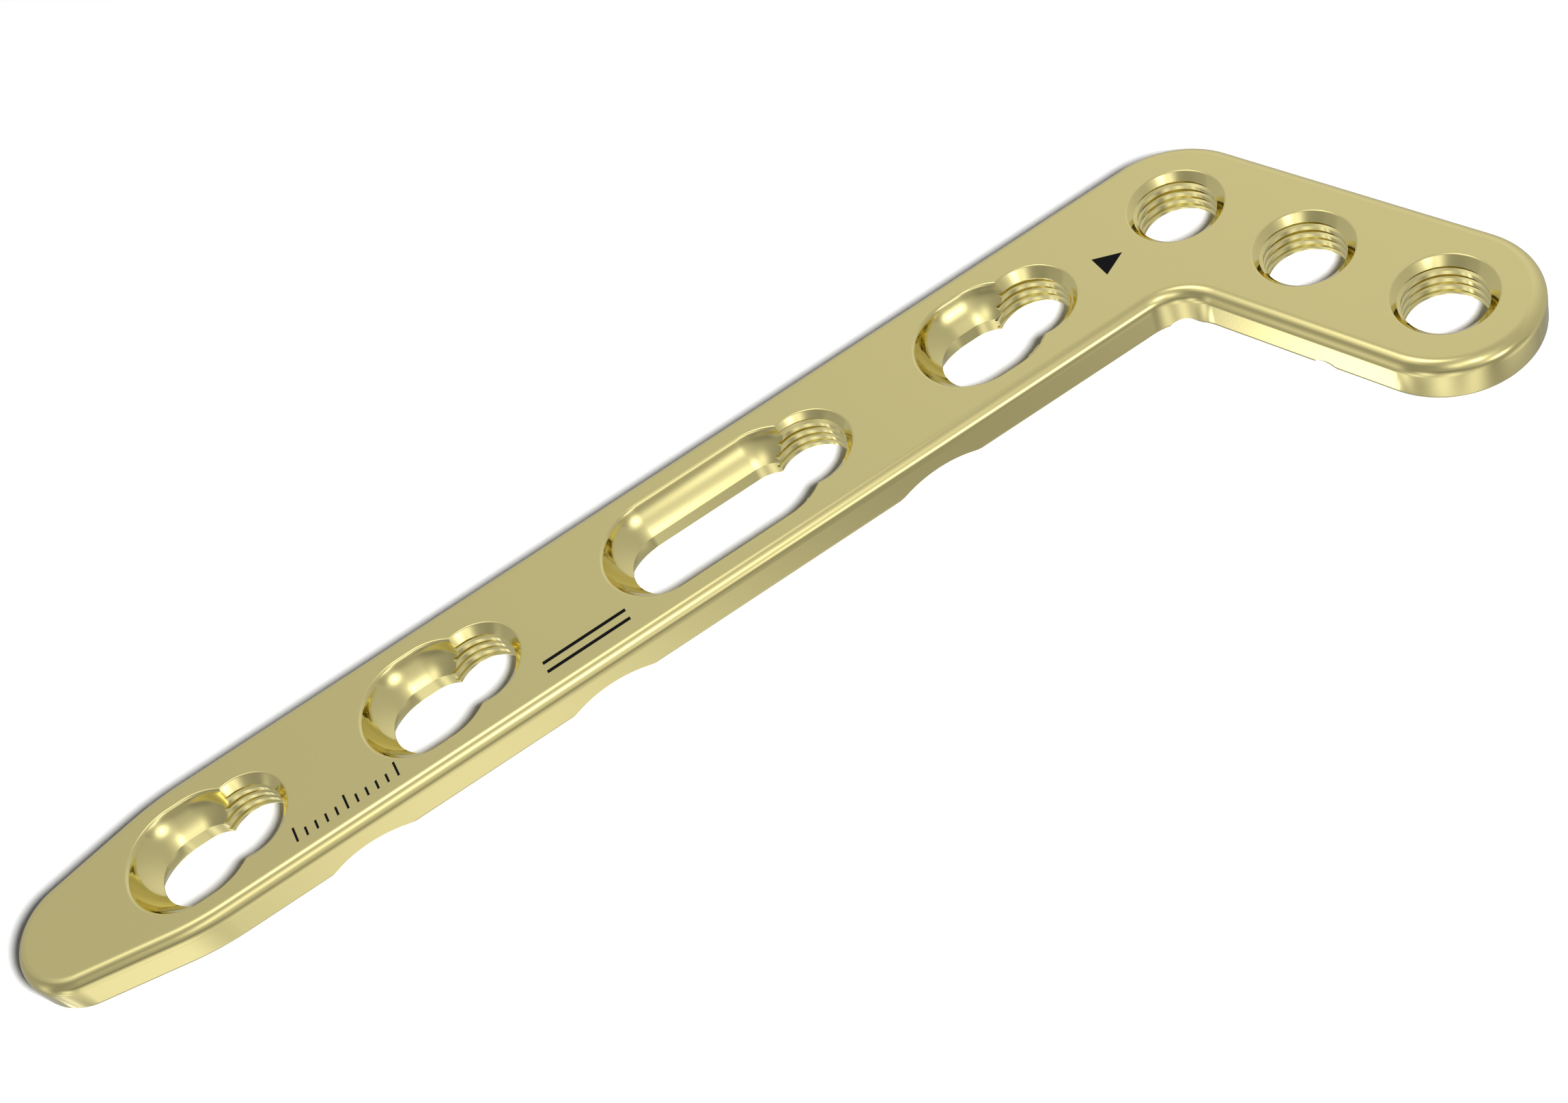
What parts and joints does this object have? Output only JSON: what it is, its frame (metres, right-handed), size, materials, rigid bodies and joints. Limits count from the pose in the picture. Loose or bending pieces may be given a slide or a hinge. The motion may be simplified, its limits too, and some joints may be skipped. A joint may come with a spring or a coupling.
{
  "type": "orthopedic bone plate",
  "caption": "Thin oblique L-shaped bone plate with a tapered round tip, keyhole-shaped screw slots along its shaft and threaded screw holes in its slanted head.",
  "frame": {"origin": "on the bone side, under the middle of the plate's outline as seen from above", "axes": "+X along the shaft from the tip to the head, +Y towards the far side, away from the head's free end, +Z out of the top face that carries the countersinks"},
  "size_m": [0.0754, 0.0222, 0.0022],
  "materials": {
    "gold_anodised_titanium": null
  },
  "bodies": {
    "root": {"bone_plate": "gold_anodised_titanium"}
  },
  "joints": []
}
